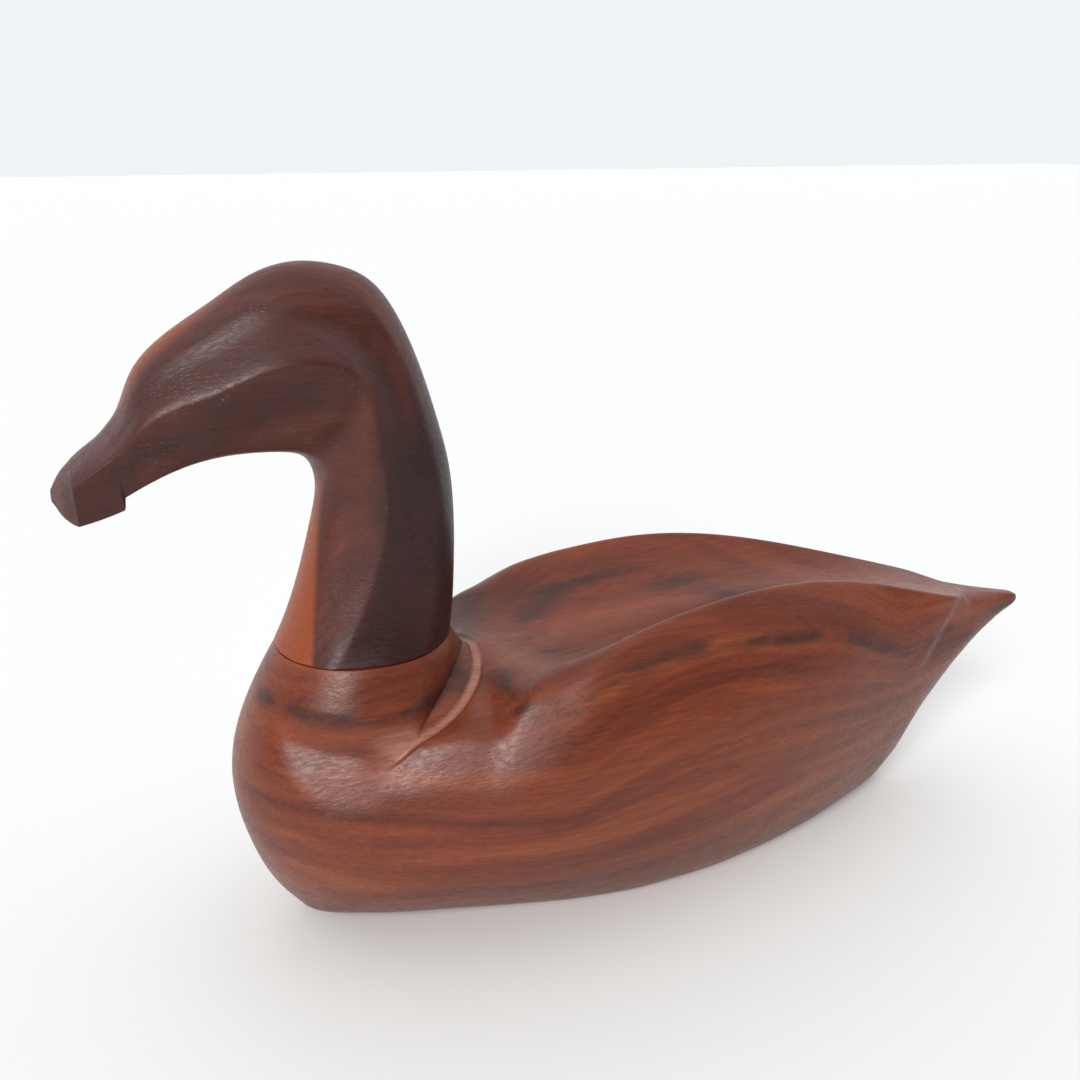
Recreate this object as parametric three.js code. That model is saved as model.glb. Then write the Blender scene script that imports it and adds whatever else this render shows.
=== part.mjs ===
// Carved wooden duck: a body with folded wings, and a head-and-neck piece glued on at a flat joint.
// Millimetres. +X points to the bill, +Y to the bird's left, +Z up, and the flat underside is z = 0.
import * as THREE from "three";

// Neck joint: a nearly round ellipse on a level plane, with a hairline glue gap
const joint = { x: 42.25, halfLength: 12.6, halfWidth: 12.0, z: 44.0, gap: 0.3 };

// Body stations run from the joint (-58) down the breast to the front of the base (-38), turn upright
// behind the shoulder, and from there are the distance behind x = 0 up to the tail tip (80.4)
const stationJoint = -58;
const stationBaseFront = -38;
const stationUpright = -10;
const stationBaseRear = 50.75;
const stationTail = 80.4;
const bodySpacing = { breast: 14, shoulder: 12, flank: 14, tail: 9 };
const bodyPoints = { flank: 10, crest: 2, back: 6 };

// Outer line in the plane of symmetry: station, x, z down the breast; station, x on the base; station, z
// along the rising keel under the tail
const breastLine = [
  [-58, 54.85, 44.0], [-55, 58.0, 39.8], [-51.5, 61.2, 32.9], [-48, 62.6, 24.8], [-44, 61.2, 14.6],
  [-41, 58.4, 6.6], [-38, 54.25, 0.0],
];
const baseLine = [[-38, 54.25], [-30, 37.3], [-22, 23.5], [-14, 14.0], [-10, 10.0], [0, 0.0], [5, -5.0]];
const keelLine = [[50.75, 0.0], [57.5, 9.2], [61.2, 14.9], [65, 19.8], [73, 26.3], [80.4, 30.6]];

// Flat base seen from below: x, half width
const baseOutline = [
  [-50.75, 0.0], [-46.5, 2.6], [-41, 5.0], [-30, 9.7], [-17, 13.4], [-6, 15.1], [4, 15.5], [14, 14.4],
  [24, 12.0], [34, 9.2], [43, 6.4], [49.25, 3.6], [52, 2.1], [53.5, 1.0], [54.25, 0.0],
];

// Widest line of the flank: station, x, y, z
const widestLine = [
  [-58, 42.25, 12.0, 44.0], [-53.5, 44.2, 14.3, 38.2], [-49, 45.6, 17.3, 31.4],
  [-44, 43.0, 19.9, 26.7], [-38, 36.6, 22.8, 24.7], [-30, 29.4, 24.9, 24.0], [-14, 14.0, 26.2, 24.0],
  [0, 0.0, 25.6, 24.2], [15, -15.0, 22.9, 24.5], [30, -30.0, 18.4, 25.0], [45, -45.0, 12.9, 25.8],
  [64, -64.0, 6.9, 28.8], [80.4, -80.4, 0.4, 30.75],
];

// Crest line: round the neck stump, along the shoulder edge, then the sharp top edge of the wing
const crestLine = [
  [-58, 33.3, 8.45, 44.0], [-53.5, 34.8, 11.6, 40.2], [-49, 39.8, 16.0, 35.0],
  [-46.5, 40.2, 17.3, 34.2], [-44, 37.8, 18.1, 34.2], [-38, 31.6, 19.3, 34.7], [-34, 28.3, 19.9, 34.9],
  [-30, 25.4, 20.1, 36.1], [-22, 20.0, 19.3, 40.9], [-14, 13.9, 18.6, 44.0], [-5, 5.0, 16.9, 46.1],
  [8, -8.0, 14.9, 47.6], [20, -20.0, 12.5, 47.2], [44, -44.0, 8.0, 41.5], [61.3, -61.3, 6.7, 35.9],
  [66, -66.0, 5.3, 34.7], [80.4, -80.4, 0.35, 31.0],
];

// Middle line of the back: station, x, z from behind the neck along the valley to the tail
const backLine = [
  [-58, 29.65, 44.0], [-53.5, 28.5, 41.9], [-49, 27.8, 40.7], [-44, 27.4, 40.2], [-38, 26.6, 39.9],
  [-30, 23.8, 39.4], [-22, 19.2, 38.8], [-14, 13.6, 38.6], [0, 0.0, 39.9], [12, -12.0, 41.2],
  [24, -24.0, 41.4], [48, -48.0, 38.3], [66, -66.0, 34.6], [80.4, -80.4, 31.1],
];

// Roundness of the lower flank, the upper flank and the back, and the softness of the crest edge
const lowerPower = [[-58, 0.5], [-47, 0.5], [-43, 0.57], [-37, 0.82], [-28, 0.9], [52, 0.85], [80.4, 0.6]];
const upperPower = [[-58, 2.2], [-50, 2.2], [-44, 2.5], [-28, 2.5], [-15, 2.2], [0, 2.1], [80.4, 2.0]];
const backPower = [
  [-58, 2.2], [-49, 1.5], [-44, 1.2], [-28, 1.2], [-15, 1.8], [0, 2.0], [40, 2.0], [60, 1.6],
  [80.4, 1.5],
];
const crestSoftness = [
  [-58, 3.0], [-51, 3.0], [-46, 1.8], [-41, 1.3], [-30, 1.5], [-20, 4.2], [-10, 2.0], [-5, 1.2],
  [10, 0.8], [58, 0.7], [66, 1.2], [80.4, 0.15],
];

// Gouged ring behind the neck: a broad hollow with a narrow channel in it
const ring = {
  distance: 3.7, halfWidth: 1.05, depth: 1.1,
  hollowStart: 3.4, hollowReach: 2.6, hollowDepth: 1.6,
  hollowAngles: [0.25, 1.0], fadeAngles: [1.35, 1.95], fadeHeights: [27, 30],
};

// Head and neck sections: number, inner x, inner z (throat side), outer x, outer z (nape and crown side).
// Sections 0 to 4 are the neck, 5 to 9 turn over the throat, 16 is the step under the bill, 21 the tip
const billStep = 16;
const headEnds = [
  [0, 54.85, 44.3, 29.65, 44.3], [1, 53.0, 48.5, 28.8, 48.7], [2, 51.0, 54.2, 28.2, 55.5],
  [3, 49.0, 60.2, 28.0, 62.0], [4, 47.6, 65.5, 28.5, 68.6], [5, 47.7, 68.4, 29.9, 75.0],
  [6, 48.4, 70.4, 32.0, 81.6], [7, 49.6, 71.8, 34.8, 88.2], [8, 51.2, 72.6, 38.6, 93.2],
  [9, 53.3, 73.0, 43.2, 95.9], [10, 55.8, 73.2, 48.4, 96.9], [11, 58.6, 73.2, 53.8, 96.0],
  [12, 61.6, 72.9, 58.8, 92.4], [13, 64.6, 72.2, 63.7, 89.5], [14, 67.4, 71.2, 68.6, 85.2],
  [15, 70.0, 70.1, 71.1, 80.3], [16, 71.6, 69.3, 72.8, 77.9], [16.3, 71.9, 67.7, 73.1, 77.6],
  [17, 73.5, 67.0, 74.5, 76.5], [18, 75.6, 66.5, 76.3, 75.4], [19, 77.5, 66.3, 77.8, 74.2],
  [20, 79.1, 67.4, 79.4, 72.4], [21, 80.4, 69.2, 80.4, 70.6],
];
const headSections = [
  0, 0.5, 1, 1.5, 2, 2.5, 3, 3.5, 4, 4.5, 5, 5.5, 6, 6.5, 7, 7.5, 8, 8.5, 9, 9.5, 10, 10.5, 11, 11.5,
  12, 12.5, 13, 13.5, 14, 14.5, 15, 15.5, 16, 16.3, 17, 18, 19, 19.5, 20, 20.5, 21,
];

// Edges of the head section, each with its place along the section (0 throat side, 1 crown side), its
// half width and how sharp it is (0 round, 1 a corner)
const headEdges = [
  {
    name: "jaw edge",
    place: [[0, 0.07], [4, 0.07], [6, 0.06], [8, 0.04], [12, 0.035], [16, 0.05], [19, 0.06], [21, 0.1]],
    width: [
      [0, 6.1], [3, 4.6], [5, 4.4], [7, 4.9], [10, 5.4], [13, 5.4], [15, 5.2], [16, 5.0], [16.3, 4.6],
      [19, 5.0], [20, 2.8], [21, 0.5],
    ],
    sharp: [[0, 0.0], [6, 0.1], [9, 0.45], [14, 0.6], [16, 0.9], [21, 0.9]],
    points: 2,
  },
  {
    name: "lower cheek",
    place: [[0, 0.22], [4, 0.21], [6, 0.2], [8, 0.2], [12, 0.22], [16, 0.32], [19, 0.35], [21, 0.35]],
    width: [
      [0, 9.95], [3, 7.2], [5, 7.0], [7, 7.5], [10, 7.8], [12, 7.6], [14, 6.6], [16, 5.9], [19, 5.4],
      [20, 3.0], [21, 0.7],
    ],
    sharp: [[0, 0.0], [21, 0.0]],
    points: 2,
  },
  {
    name: "cheek ridge",
    place: [
      [0, 0.42], [4, 0.41], [6, 0.45], [7, 0.52], [8, 0.55], [10, 0.52], [12, 0.5], [14, 0.58],
      [16, 0.7], [19, 0.66], [21, 0.6],
    ],
    width: [
      [0, 12.0], [1, 10.6], [2, 9.3], [3, 8.7], [4, 8.5], [5, 8.7], [6, 9.6], [7, 10.5], [8, 11.0],
      [10, 10.9], [12, 9.9], [14, 8.1], [16, 6.9], [17, 6.6], [19, 6.0], [20, 3.3], [21, 0.8],
    ],
    sharp: [[0, 0.15], [4, 0.25], [6, 0.3], [9, 0.6], [14, 0.6], [17, 0.75], [21, 0.8]],
    points: 3,
  },
  {
    name: "scoop",
    place: [
      [0, 0.64], [4, 0.64], [6, 0.68], [8, 0.73], [10, 0.73], [12, 0.72], [14, 0.76], [16, 0.82],
      [19, 0.82], [21, 0.75],
    ],
    width: [
      [0, 11.4], [1, 10.0], [2, 8.7], [3, 8.1], [4, 7.9], [5, 7.8], [6, 7.6], [7, 7.4], [8, 7.3],
      [10, 7.2], [12, 6.8], [14, 5.8], [16, 5.3], [19, 4.6], [20, 2.5], [21, 0.6],
    ],
    sharp: [[0, 0.0], [21, 0.0]],
    points: 3,
  },
  {
    name: "crown ridge",
    place: [[0, 0.86], [4, 0.86], [6, 0.87], [8, 0.88], [10, 0.87], [12, 0.87], [14, 0.9], [16, 0.93], [19, 0.93], [21, 0.9]],
    width: [
      [0, 8.2], [1, 7.3], [2, 6.4], [3, 6.0], [4, 5.9], [5, 5.8], [6, 5.7], [8, 5.5], [10, 5.3],
      [12, 4.9], [14, 3.7], [16, 3.1], [19, 2.6], [20, 1.4], [21, 0.4],
    ],
    sharp: [[0, 0.0], [7, 0.1], [9, 0.5], [12, 0.4], [15, 0.1], [21, 0.1]],
    points: 2,
  },
];
const crownPoints = 3;
const endBulge = 1.3;

// Smooth step from 0 to 1 between two limits
function smoothStep([low, high], value) {
  const t = Math.min(Math.max((value - low) / (high - low), 0), 1);
  return t * t * (3 - 2 * t);
}

// Interval of a table that holds a value
function interval(rows, value) {
  let i = 0;
  while (i < rows.length - 2 && value >= rows[i + 1][0]) i += 1;
  return i;
}

// Freely bending curve (natural cubic) through table rows [position, value, value, ...]
function bendingCurve(rows) {
  const last = rows.length - 1;
  const columns = rows[0].length - 1;
  const bends = rows.map(() => new Array(columns).fill(0));
  for (let c = 1; c <= columns; c += 1) {
    const ratio = new Array(last + 1).fill(0);
    const load = new Array(last + 1).fill(0);
    for (let i = 1; i < last; i += 1) {
      const before = rows[i][0] - rows[i - 1][0];
      const after = rows[i + 1][0] - rows[i][0];
      const kink = (rows[i + 1][c] - rows[i][c]) / after - (rows[i][c] - rows[i - 1][c]) / before;
      const pivot = 2 * (before + after) - before * ratio[i - 1];
      ratio[i] = after / pivot;
      load[i] = (6 * kink - before * load[i - 1]) / pivot;
    }
    for (let i = last - 1; i > 0; i -= 1) bends[i][c - 1] = load[i] - ratio[i] * bends[i + 1][c - 1];
  }
  return (position) => {
    const x = Math.min(Math.max(position, rows[0][0]), rows[last][0]);
    const i = interval(rows, x);
    const width = rows[i + 1][0] - rows[i][0];
    const a = (rows[i + 1][0] - x) / width;
    const b = (x - rows[i][0]) / width;
    return bends[i].map((bend, c) => {
      const straight = a * rows[i][c + 1] + b * rows[i + 1][c + 1];
      return straight + ((a ** 3 - a) * bend + (b ** 3 - b) * bends[i + 1][c]) * width ** 2 / 6;
    });
  };
}

// Curve through table rows [position, value] that never overshoots them
function steadyCurve(rows) {
  const slopes = rows.slice(1).map((row, i) => (row[1] - rows[i][1]) / (row[0] - rows[i][0]));
  const tangents = rows.map((row, i) => {
    if (i === 0) return slopes[0];
    if (i === rows.length - 1) return slopes[i - 1];
    if (slopes[i - 1] * slopes[i] <= 0) return 0;
    const before = row[0] - rows[i - 1][0];
    const after = rows[i + 1][0] - row[0];
    const w1 = 2 * after + before;
    const w2 = after + 2 * before;
    return (w1 + w2) / (w1 / slopes[i - 1] + w2 / slopes[i]);
  });
  return (position) => {
    const x = Math.min(Math.max(position, rows[0][0]), rows[rows.length - 1][0]);
    const i = interval(rows, x);
    const width = rows[i + 1][0] - rows[i][0];
    const t = (x - rows[i][0]) / width;
    const start = (2 * t ** 3 - 3 * t ** 2 + 1) * rows[i][1] + (t ** 3 - 2 * t ** 2 + t) * width * tangents[i];
    const end = (3 * t ** 2 - 2 * t ** 3) * rows[i + 1][1] + (t ** 3 - t ** 2) * width * tangents[i + 1];
    return start + end;
  };
}

// Head curve: freely bending up to the step under the bill, steady from there to the tip
function headCurve(rows) {
  const head = rows.filter((row) => row[0] <= billStep);
  const bill = rows.filter((row) => row[0] >= billStep);
  if (head.length < 3 || bill.length < 2 || !rows.some((row) => row[0] === billStep)) return steadyCurve(rows);
  const headPart = bendingCurve(head);
  const billPart = steadyCurve(bill);
  return (position) => (position <= billStep ? headPart(position)[0] : billPart(position));
}

const breastCurve = bendingCurve(breastLine);
const baseCurve = bendingCurve(baseLine);
const keelCurve = bendingCurve(keelLine);
const baseWidth = steadyCurve(baseOutline);
const widestCurve = bendingCurve(widestLine);
const crestCurve = bendingCurve(crestLine);
const backCurve = bendingCurve(backLine);
const lowerShape = steadyCurve(lowerPower);
const upperShape = steadyCurve(upperPower);
const backShape = steadyCurve(backPower);
const softness = steadyCurve(crestSoftness);

// Lower end of a body section: on the breast, on the edge of the flat base or on the keel
function lowerEnd(station) {
  if (station < stationBaseFront) {
    const [x, z] = breastCurve(station);
    return new THREE.Vector3(x, 0, z);
  }
  if (station <= stationBaseRear) {
    const x = station < 0 ? baseCurve(station)[0] : -station;
    return new THREE.Vector3(x, baseWidth(x), 0);
  }
  return new THREE.Vector3(-station, 0, keelCurve(station)[0]);
}

// Depth of the gouged ring behind the neck at a point
function ringDepth(point) {
  const reach = Math.hypot((point.x - joint.x) / joint.halfLength, point.y / joint.halfWidth);
  const distance = (reach - 1) * (joint.halfLength + joint.halfWidth) / 2;
  const angle = Math.atan2(Math.abs(point.y), joint.x - point.x);
  const beyond = Math.max(distance - ring.hollowStart, 0) / ring.hollowReach;
  const hollow = smoothStep([0, ring.hollowStart], distance) * Math.exp(-(beyond ** 2));
  const channel = Math.exp(-(((distance - ring.distance) / ring.halfWidth) ** 2));
  const depth = ring.hollowDepth * hollow * smoothStep(ring.hollowAngles, angle) + ring.depth * channel;
  return depth * (1 - smoothStep(ring.fadeAngles, angle)) * smoothStep(ring.fadeHeights, point.z);
}

// Left half of a body section, from the base or keel over the flank and the crest to the middle of the back
function bodyHalfSection(station) {
  const low = lowerEnd(station);
  const widest = new THREE.Vector3(...widestCurve(station));
  const crest = new THREE.Vector3(...crestCurve(station));
  const [backX, backZ] = backCurve(station);
  const back = new THREE.Vector3(backX, 0, backZ);
  const flankPoint = (t) => {
    const point = widest.clone().lerp(low, t);
    point.y = low.y + (widest.y - low.y) * Math.max(1 - t * t, 0) ** lowerShape(station);
    return point;
  };
  const shoulderPoint = (t) => {
    const point = widest.clone().lerp(crest, t);
    point.y = widest.y - (widest.y - crest.y) * t ** upperShape(station);
    return point;
  };
  const backPoint = (t) => {
    const point = back.clone().lerp(crest, t ** backShape(station));
    point.y = crest.y * t;
    return point;
  };
  const crestStart = 1 - Math.min(softness(station) / crest.distanceTo(widest), 0.5);
  const crestEnd = 1 - Math.min(softness(station) / crest.distanceTo(back), 0.5);
  const crestBend = new THREE.QuadraticBezierCurve3(shoulderPoint(crestStart), crest, backPoint(crestEnd));
  const points = [];
  const lowerCount = Math.round(bodyPoints.flank * 0.6);
  const upperCount = bodyPoints.flank - lowerCount;
  for (let i = 0; i < lowerCount; i += 1) points.push(flankPoint(Math.cos(Math.PI / 2 * i / lowerCount)));
  for (let i = 0; i < upperCount; i += 1) points.push(shoulderPoint(crestStart * i / upperCount));
  for (let i = 0; i <= bodyPoints.crest; i += 1) points.push(crestBend.getPoint(i / bodyPoints.crest));
  for (let i = 1; i <= bodyPoints.back; i += 1) points.push(backPoint(crestEnd * (1 - i / bodyPoints.back)));
  for (const point of points) point.z -= ringDepth(point);
  return points;
}

// Evenly spaced stations from one end of a stretch up to, not including, the other
function stretch(from, to, count) {
  return Array.from({ length: count }, (_, i) => from + (to - from) * i / count);
}

function bodyStations() {
  return [
    ...stretch(stationJoint, stationBaseFront, bodySpacing.breast),
    ...stretch(stationBaseFront, stationUpright, bodySpacing.shoulder),
    ...stretch(stationUpright, stationBaseRear, bodySpacing.flank),
    ...stretch(stationBaseRear, stationTail, bodySpacing.tail),
    stationTail,
  ];
}

const headEnd = [1, 2, 3, 4].map((column) => headCurve(headEnds.map((row) => [row[0], row[column]])));
const headRails = headEdges.map((edge) => ({
  place: headCurve(edge.place),
  width: headCurve(edge.width),
  sharp: headCurve(edge.sharp),
  points: edge.points,
}));

// Left half of a head section, from the crown side over the crown ridge and the cheek to the throat side
function headHalfSection(number) {
  const [innerX, innerZ, outerX, outerZ] = headEnd.map((curve) => curve(number));
  const length = Math.hypot(outerX - innerX, outerZ - innerZ);
  const corners = [[0, 0], ...headRails.map((rail) => [rail.place(number) * length, rail.width(number)]), [length, 0]];
  const sharp = [0, ...headRails.map((rail) => rail.sharp(number)), 0];
  const last = corners.length - 1;
  const tangents = corners.map((corner, i) => {
    if (i === 0) return [0, endBulge * corners[1][1]];
    if (i === last) return [0, -endBulge * corners[last - 1][1]];
    return [0, 1].map((axis) => (corners[i + 1][axis] - corners[i - 1][axis]) / 2 * (1 - sharp[i]));
  });
  const counts = [...headRails.map((rail) => rail.points), crownPoints];
  const place = (along, side) => new THREE.Vector3(
    innerX + (outerX - innerX) * along / length, Math.max(side, 0), innerZ + (outerZ - innerZ) * along / length);
  const points = [];
  for (let i = 0; i < last; i += 1) {
    for (let j = 0; j < counts[i]; j += 1) {
      const t = j / counts[i];
      const [along, side] = [0, 1].map((axis) => (
        (2 * t ** 3 - 3 * t ** 2 + 1) * corners[i][axis] + (t ** 3 - 2 * t ** 2 + t) * tangents[i][axis]
        + (3 * t ** 2 - 2 * t ** 3) * corners[i + 1][axis] + (t ** 3 - t ** 2) * tangents[i + 1][axis]));
      points.push(place(along, side));
    }
  }
  points.push(place(length, 0));
  return points.reverse();
}

// Closed skin over half sections mirrored in the plane of symmetry, with a flat cap at each end
function skin(halves) {
  const positions = [];
  const indices = [];
  const known = new Map();
  const vertex = (point) => {
    const key = point.toArray().map((value) => Math.round(value * 1e4)).join(" ");
    if (!known.has(key)) {
      known.set(key, positions.length / 3);
      positions.push(...point.toArray());
    }
    return known.get(key);
  };
  const triangle = (a, b, c) => {
    if (a !== b && b !== c && c !== a) indices.push(a, b, c);
  };
  const rings = halves.map((half) => {
    const mirrored = half.map((point) => new THREE.Vector3(point.x, -point.y, point.z)).reverse();
    return [...half, ...mirrored.slice(1)].map(vertex);
  });
  const count = rings[0].length;
  for (let i = 0; i < rings.length - 1; i += 1) {
    for (let j = 0; j < count; j += 1) {
      const next = (j + 1) % count;
      const [a, b, c, d] = [rings[i][j], rings[i][next], rings[i + 1][next], rings[i + 1][j]];
      if (j < count / 2) {
        triangle(a, c, b);
        triangle(a, d, c);
      } else {
        triangle(a, d, b);
        triangle(b, d, c);
      }
    }
  }
  const cap = (ringPoints, half, flip) => {
    const middle = half.reduce((sum, point) => sum.add(new THREE.Vector3(point.x, 0, point.z)), new THREE.Vector3());
    const centre = vertex(middle.divideScalar(half.length));
    for (let j = 0; j < count; j += 1) {
      const [a, b] = [ringPoints[j], ringPoints[(j + 1) % count]];
      if (a !== b) triangle(centre, flip ? b : a, flip ? a : b);
    }
  };
  cap(rings[0], halves[0], false);
  cap(rings[rings.length - 1], halves[halves.length - 1], true);
  const geometry = new THREE.BufferGeometry();
  geometry.setAttribute("position", new THREE.Float32BufferAttribute(positions, 3));
  geometry.setIndex(indices);
  return geometry;
}

function piece(name, geometry, color, roughness) {
  const mesh = new THREE.Mesh(geometry, new THREE.MeshStandardMaterial({ color, roughness, metalness: 0 }));
  mesh.name = name;
  return mesh;
}

const duck = new THREE.Group();
duck.name = "carved_wooden_duck";
duck.add(piece("body", skin(bodyStations().map(bodyHalfSection)), "#7a3a26", 0.42));
duck.add(piece("head_and_neck", skin(headSections.map(headHalfSection)), "#4f2a26", 0.45));

export default duck;
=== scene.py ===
import math

import bpy
import numpy as np
from mathutils import Matrix, Vector


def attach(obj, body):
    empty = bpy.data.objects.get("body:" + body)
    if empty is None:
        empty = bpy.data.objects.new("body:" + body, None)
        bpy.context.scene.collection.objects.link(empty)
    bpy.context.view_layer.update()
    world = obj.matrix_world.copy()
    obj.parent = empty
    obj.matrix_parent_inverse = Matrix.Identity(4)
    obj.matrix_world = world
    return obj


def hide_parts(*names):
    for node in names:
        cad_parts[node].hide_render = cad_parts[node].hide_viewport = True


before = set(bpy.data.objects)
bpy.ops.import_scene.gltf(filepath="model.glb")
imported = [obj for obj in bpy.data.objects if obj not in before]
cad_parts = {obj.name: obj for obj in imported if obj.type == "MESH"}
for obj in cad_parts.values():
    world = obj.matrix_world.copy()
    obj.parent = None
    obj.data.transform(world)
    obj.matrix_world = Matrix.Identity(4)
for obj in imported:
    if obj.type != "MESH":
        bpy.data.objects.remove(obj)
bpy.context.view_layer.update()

# Carved wooden duck: a body with folded wings, and a head-and-neck piece glued on at a flat joint.
# Shapes are worked out in millimetres in the frame's axes (+X to the bill, +Z up) and scaled to metres.
MM = 0.001

# Neck joint: an ellipse on a level plane
joint = {"x": 42.25, "half_length": 12.6, "half_width": 12.0}
JOINT_LEVEL = 44.0

# Body stations run from the joint down the breast to the front of the base, turn upright behind the
# shoulder, and from there are the distance behind x = 0 up to the tail tip
STATION_JOINT = -58
STATION_BASE_FRONT = -38
STATION_UPRIGHT = -10
STATION_BASE_REAR = 50.75
STATION_TAIL = 80.4
body_spacing = {"breast": 110, "shoulder": 80, "flank": 110, "tail": 50}
body_points = {"lower_flank": 24, "upper_flank": 16, "crest": 8, "back": 46}
CREST_ROUNDING_LIMIT = 0.5

# Outer line in the plane of symmetry: station, x, z down the breast; station, x on the base; station, z
# along the rising keel under the tail
breast_line = [
    [-58, 54.85, 44.0], [-55, 57.3, 39.8], [-51.5, 60.6, 32.9], [-48, 62.5, 24.8], [-44, 61.2, 14.6],
    [-41, 58.4, 6.6], [-38, 54.25, 0.0],
]
base_line = [[-38, 54.25], [-30, 37.3], [-22, 23.5], [-14, 14.0], [-10, 10.0], [0, 0.0], [5, -5.0]]
keel_line = [[50.75, 0.0], [57.5, 9.7], [61.2, 15.4], [65, 20.3], [73, 26.3], [80.4, 29.9]]

# Flat base seen from below: x, half width
base_outline = [
    [-50.75, 0.0], [-46.5, 2.6], [-41, 5.0], [-30, 9.7], [-17, 13.4], [-6, 15.1], [4, 15.5], [14, 14.4],
    [24, 12.0], [34, 9.2], [43, 6.4], [49.25, 3.6], [52, 2.1], [53.5, 1.0], [54.25, 0.0],
]

# Widest line of the flank: station, x, y, z
widest_line = [
    [-58, 42.25, 12.0, 44.0], [-53.5, 44.2, 14.3, 38.2], [-49, 45.6, 17.0, 31.4],
    [-44, 43.0, 19.4, 26.7], [-38, 36.6, 21.9, 24.7], [-30, 29.4, 24.3, 24.0], [-22, 21.5, 25.9, 24.0],
    [-14, 14.0, 26.2, 24.0], [0, 0.0, 25.6, 24.2], [15, -15.0, 22.9, 24.5], [30, -30.0, 18.4, 25.0],
    [45, -45.0, 12.9, 25.8], [64, -64.0, 6.9, 28.8], [80.4, -80.4, 1.3, 30.7],
]

# Crest line: round the neck stump, along the shoulder edge, then the sharp top edge of the wing
crest_line = [
    [-58, 33.3, 8.45, 44.0], [-53.5, 34.8, 11.6, 40.2], [-49, 39.8, 16.0, 35.0],
    [-46.5, 40.2, 17.3, 34.2], [-44, 37.8, 18.1, 34.2], [-38, 31.6, 19.3, 34.7], [-34, 28.3, 19.9, 34.9],
    [-30, 25.4, 20.1, 37.4], [-22, 20.0, 18.5, 41.7], [-14, 13.9, 18.4, 44.2], [-5, 5.0, 16.9, 46.1],
    [8, -8.0, 14.9, 47.6], [20, -20.0, 12.5, 47.2], [44, -44.0, 8.0, 41.8], [61.3, -61.3, 6.7, 36.2],
    [66, -66.0, 5.3, 34.8], [80.4, -80.4, 1.1, 31.5],
]

# Middle line of the back: station, x, z from behind the neck along the valley to the tail
back_line = [
    [-58, 29.65, 44.0], [-53.5, 28.5, 41.9], [-49, 27.8, 40.7], [-44, 27.4, 40.2], [-38, 26.6, 39.9],
    [-30, 23.8, 39.4], [-22, 19.2, 38.8], [-14, 13.6, 38.6], [0, 0.0, 39.9], [12, -12.0, 41.2],
    [24, -24.0, 41.4], [48, -48.0, 38.3], [66, -66.0, 34.7], [80.4, -80.4, 31.6],
]

# Roundness of the lower flank, the upper flank and the back, and the softness of the crest edge
lower_power = [
    [-58, 0.5], [-47, 0.5], [-43, 0.57], [-37, 0.82], [-28, 0.9], [15, 0.82], [35, 0.68], [45, 0.62],
    [51, 0.75], [57, 1.0], [80.4, 0.9],
]
upper_power = [[-58, 2.2], [-50, 2.2], [-44, 2.5], [-28, 2.5], [-15, 2.2], [0, 2.1], [80.4, 2.0]]
back_power = [
    [-58, 2.2], [-49, 1.5], [-44, 1.2], [-28, 1.2], [-15, 1.8], [0, 2.0], [40, 2.0], [60, 1.6],
    [80.4, 1.5],
]
crest_softness = [
    [-58, 3.0], [-51, 3.0], [-46, 1.8], [-41, 1.3], [-30, 1.5], [-20, 4.0], [-10, 2.0], [-5, 1.2],
    [10, 0.8], [58, 0.7], [62, 1.0], [66, 3.0], [80.4, 3.0],
]

# Gouged ring behind the neck: a broad hollow with a narrow channel in it, its floor left pale
ring = {
    "distance": 3.7, "channel": (0.3, 1.2), "depth": 0.55, "pale_floor": (0.3, 1.0),
    "hollow_start": 3.4, "hollow_reach": 2.6, "hollow_depth": 0.75,
    "hollow_angles": (0.25, 1.0), "fade_angles": (1.5, 1.85), "fade_heights": (27, 30),
}

# Flat planed on the shoulder: a point of it, the way it faces and how softly its edges run out
shoulder_plane = {
    "through": (30.0, 19.5, 34.9), "facing": (0.307, 0.807, 0.505), "softness": 0.5, "clear": (2.5, 5.0),
}

# Rear end of the wing: a step that runs down and forward from the wing tip and fades
wing_end = {
    "x": -61.0, "z": 35.7, "slope": 1.16, "width": 1.6, "depth": 0.95, "fade_heights": (24, 33),
    "fade_half_widths": (0, 3), "reach": 14,
}

# The last stretch of the tail is rounded off
TAIL_ROUNDING = 78.6

# Head and neck sections: number, inner x, inner z (throat side), outer x, outer z (nape and crown side)
BILL_FRONT = 19
HEAD_LAST = 21
HEAD_SECTIONS = 230
head_ends = [
    [0, 54.85, 44.3, 29.65, 44.3], [1, 52.9, 48.5, 29.0, 48.7], [2, 50.8, 54.2, 28.5, 55.5],
    [3, 49.0, 60.2, 28.4, 62.0], [4, 47.7, 65.3, 28.9, 68.6], [5, 47.6, 68.4, 30.3, 75.0],
    [6, 48.2, 70.4, 32.2, 81.7], [7, 49.4, 71.8, 34.8, 88.5], [8, 51.1, 72.6, 38.3, 93.8],
    [9, 53.3, 73.0, 43.0, 96.2], [10, 55.8, 73.2, 48.4, 96.8], [11, 58.6, 73.2, 53.8, 95.3],
    [12, 61.6, 72.9, 58.8, 92.3], [13, 64.6, 72.2, 63.7, 89.3], [14, 67.4, 71.2, 68.6, 85.1],
    [15, 70.0, 70.1, 71.1, 80.3], [16, 71.6, 69.3, 72.8, 77.8], [17, 73.5, 68.6, 74.4, 76.2],
    [18, 75.6, 68.0, 76.1, 75.0], [19, 77.5, 67.6, 77.6, 73.8], [20, 79.2, 67.7, 79.2, 72.2],
    [21, 80.4, 68.6, 80.4, 70.2],
]

# Notch under the bill: the numbers over which it drops and over which it fades, its depth, and how far
# up the side of the bill it reaches
bill_notch = {"drop": (16.0, 16.3), "fade": (19.0, 21.0), "depth": 1.5, "reach": (0.0, 0.5)}

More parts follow.
